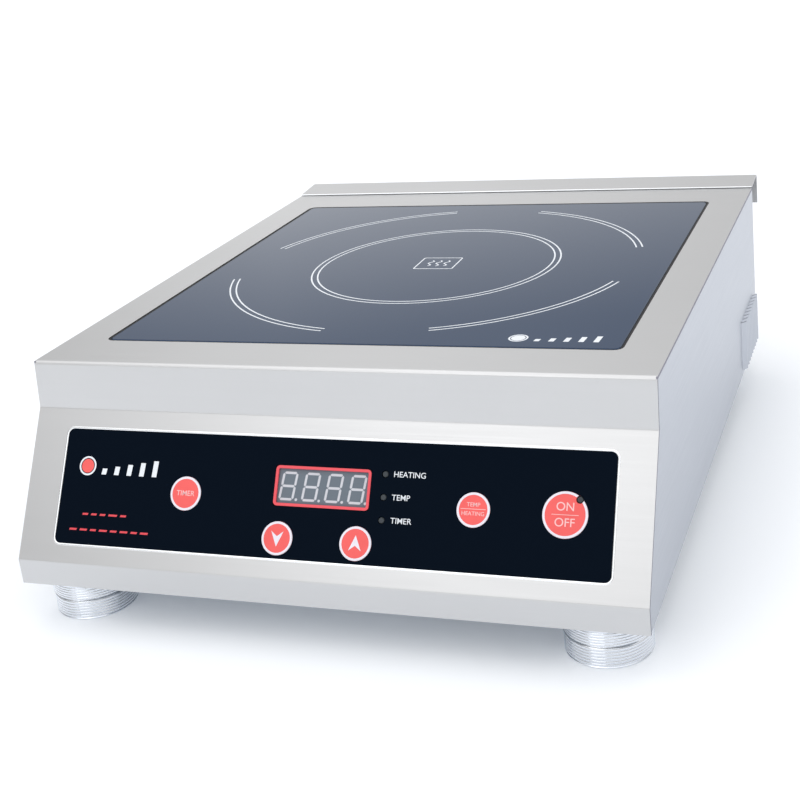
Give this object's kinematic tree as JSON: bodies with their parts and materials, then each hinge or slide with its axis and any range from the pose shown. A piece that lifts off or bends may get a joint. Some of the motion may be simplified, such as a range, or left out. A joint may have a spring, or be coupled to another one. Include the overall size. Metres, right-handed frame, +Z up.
{
  "type": "induction hob",
  "caption": "Countertop induction hob: folded steel case with a flush black glass top, sloping control panel with round red buttons, rear canopy and round adjustable feet.",
  "frame": {"origin": "middle of the footprint, at the level the feet stand on", "axes": "+X to the right, +Y from the controls to the rear, +Z up"},
  "size_m": [0.335, 0.4186, 0.1313],
  "materials": {
    "brushed_steel": "fine brushed satin",
    "galvanised_steel": "plain galvanised sheet",
    "black_glass": "polished black glass ceramic",
    "black_silicone": "matt",
    "overlay_black": "satin black with white print",
    "button_red": "satin red with a white ring",
    "bezel_red": "satin red",
    "display_grey": "grey face with pale segments",
    "lamp_grey": "unlit lens",
    "carrier_plastic": "moulded black",
    "circuit_board": "green solder mask",
    "switch_black": "moulded black",
    "copper_winding": "enamelled copper",
    "ferrite": "matt dark grey",
    "insulation": "mica sheet",
    "sensor_ceramic": "white ceramic",
    "heatsink_aluminium": "extruded",
    "capacitor_yellow": "yellow film capacitor",
    "fan_plastic": "moulded black",
    "gland_plastic": "moulded black",
    "foot_plastic": "ribbed silver grey",
    "screw_steel": "bright zinc"
  },
  "bodies": {
    "case": {"top_cover": "brushed_steel", "side_panel_left": "brushed_steel", "side_panel_right": "brushed_steel", "rear_canopy": "brushed_steel", "rear_panel": "brushed_steel", "base_tray": "galvanised_steel", "glass_frame": "galvanised_steel", "coil_bracket": "galvanised_steel", "glass_plate": "black_glass", "glass_seal": "black_silicone", "control_overlay": "overlay_black", "display_bezel": "bezel_red", "display_module": "display_grey", "lamp_heating": "lamp_grey", "lamp_temp": "lamp_grey", "lamp_timer": "lamp_grey", "lamp_power": "lamp_grey", "control_carrier": "carrier_plastic", "coil_carrier": "carrier_plastic", "control_pcb": "circuit_board", "power_pcb": "circuit_board", "switch_timer": "switch_black", "switch_down": "switch_black", "switch_up": "switch_black", "switch_temp_heating": "switch_black", "switch_on_off": "switch_black", "switching_transistor": "switch_black", "bridge_rectifier": "switch_black", "induction_coil": "copper_winding", "choke": "copper_winding", "ferrite_bar_1": "ferrite", "ferrite_bar_2": "ferrite", "ferrite_bar_3": "ferrite", "ferrite_bar_4": "ferrite", "insulation_sheet": "insulation", "temperature_sensor": "sensor_ceramic", "heatsink": "heatsink_aluminium", "filter_capacitor": "capacitor_yellow", "resonant_capacitor": "capacitor_yellow", "fan_frame": "fan_plastic", "cable_gland": "gland_plastic", "foot_collar_front_left": "foot_plastic", "foot_collar_front_right": "foot_plastic", "foot_collar_rear_left": "foot_plastic", "foot_collar_rear_right": "foot_plastic", "base_screw_front_left": "screw_steel", "base_screw_front_right": "screw_steel", "base_screw_rear_left": "screw_steel", "base_screw_rear_right": "screw_steel"},
    "timer_button": {"button_timer": "button_red"},
    "down_button": {"button_down": "button_red"},
    "up_button": {"button_up": "button_red"},
    "temp_heating_button": {"button_temp_heating": "button_red"},
    "on_off_button": {"button_on_off": "button_red"},
    "fan": {"fan_rotor": "fan_plastic"},
    "front_left_foot": {"foot_front_left": "foot_plastic"},
    "front_right_foot": {"foot_front_right": "foot_plastic"},
    "rear_left_foot": {"foot_rear_left": "foot_plastic"},
    "rear_right_foot": {"foot_rear_right": "foot_plastic"}
  },
  "joints": [
    {"name": "timer_press", "type": "slide", "parent": "case", "child": "timer_button", "axis": [0, 0.8508, -0.5255], "range_m": [0, 0.0005], "stiffness_N_per_m": 3000},
    {"name": "down_press", "type": "slide", "parent": "case", "child": "down_button", "axis": [0, 0.8508, -0.5255], "range_m": [0, 0.0005], "stiffness_N_per_m": 3000},
    {"name": "up_press", "type": "slide", "parent": "case", "child": "up_button", "axis": [0, 0.8508, -0.5255], "range_m": [0, 0.0005], "stiffness_N_per_m": 3000},
    {"name": "temp_heating_press", "type": "slide", "parent": "case", "child": "temp_heating_button", "axis": [0, 0.8508, -0.5255], "range_m": [0, 0.0005], "stiffness_N_per_m": 3000},
    {"name": "on_off_press", "type": "slide", "parent": "case", "child": "on_off_button", "axis": [0, 0.8508, -0.5255], "range_m": [0, 0.0005], "stiffness_N_per_m": 3000},
    {"name": "fan_spin", "type": "hinge", "parent": "case", "child": "fan", "pos_m": [-0.075, 0.085, 0.038], "axis": [0, 0, 1], "continuous": true},
    {"name": "front_left_foot_height", "type": "slide", "parent": "case", "child": "front_left_foot", "axis": [0, 0, -1], "range_m": [0, 0.006]},
    {"name": "front_right_foot_height", "type": "slide", "parent": "case", "child": "front_right_foot", "axis": [0, 0, -1], "range_m": [0, 0.006]},
    {"name": "rear_left_foot_height", "type": "slide", "parent": "case", "child": "rear_left_foot", "axis": [0, 0, -1], "range_m": [0, 0.006]},
    {"name": "rear_right_foot_height", "type": "slide", "parent": "case", "child": "rear_right_foot", "axis": [0, 0, -1], "range_m": [0, 0.006]}
  ]
}
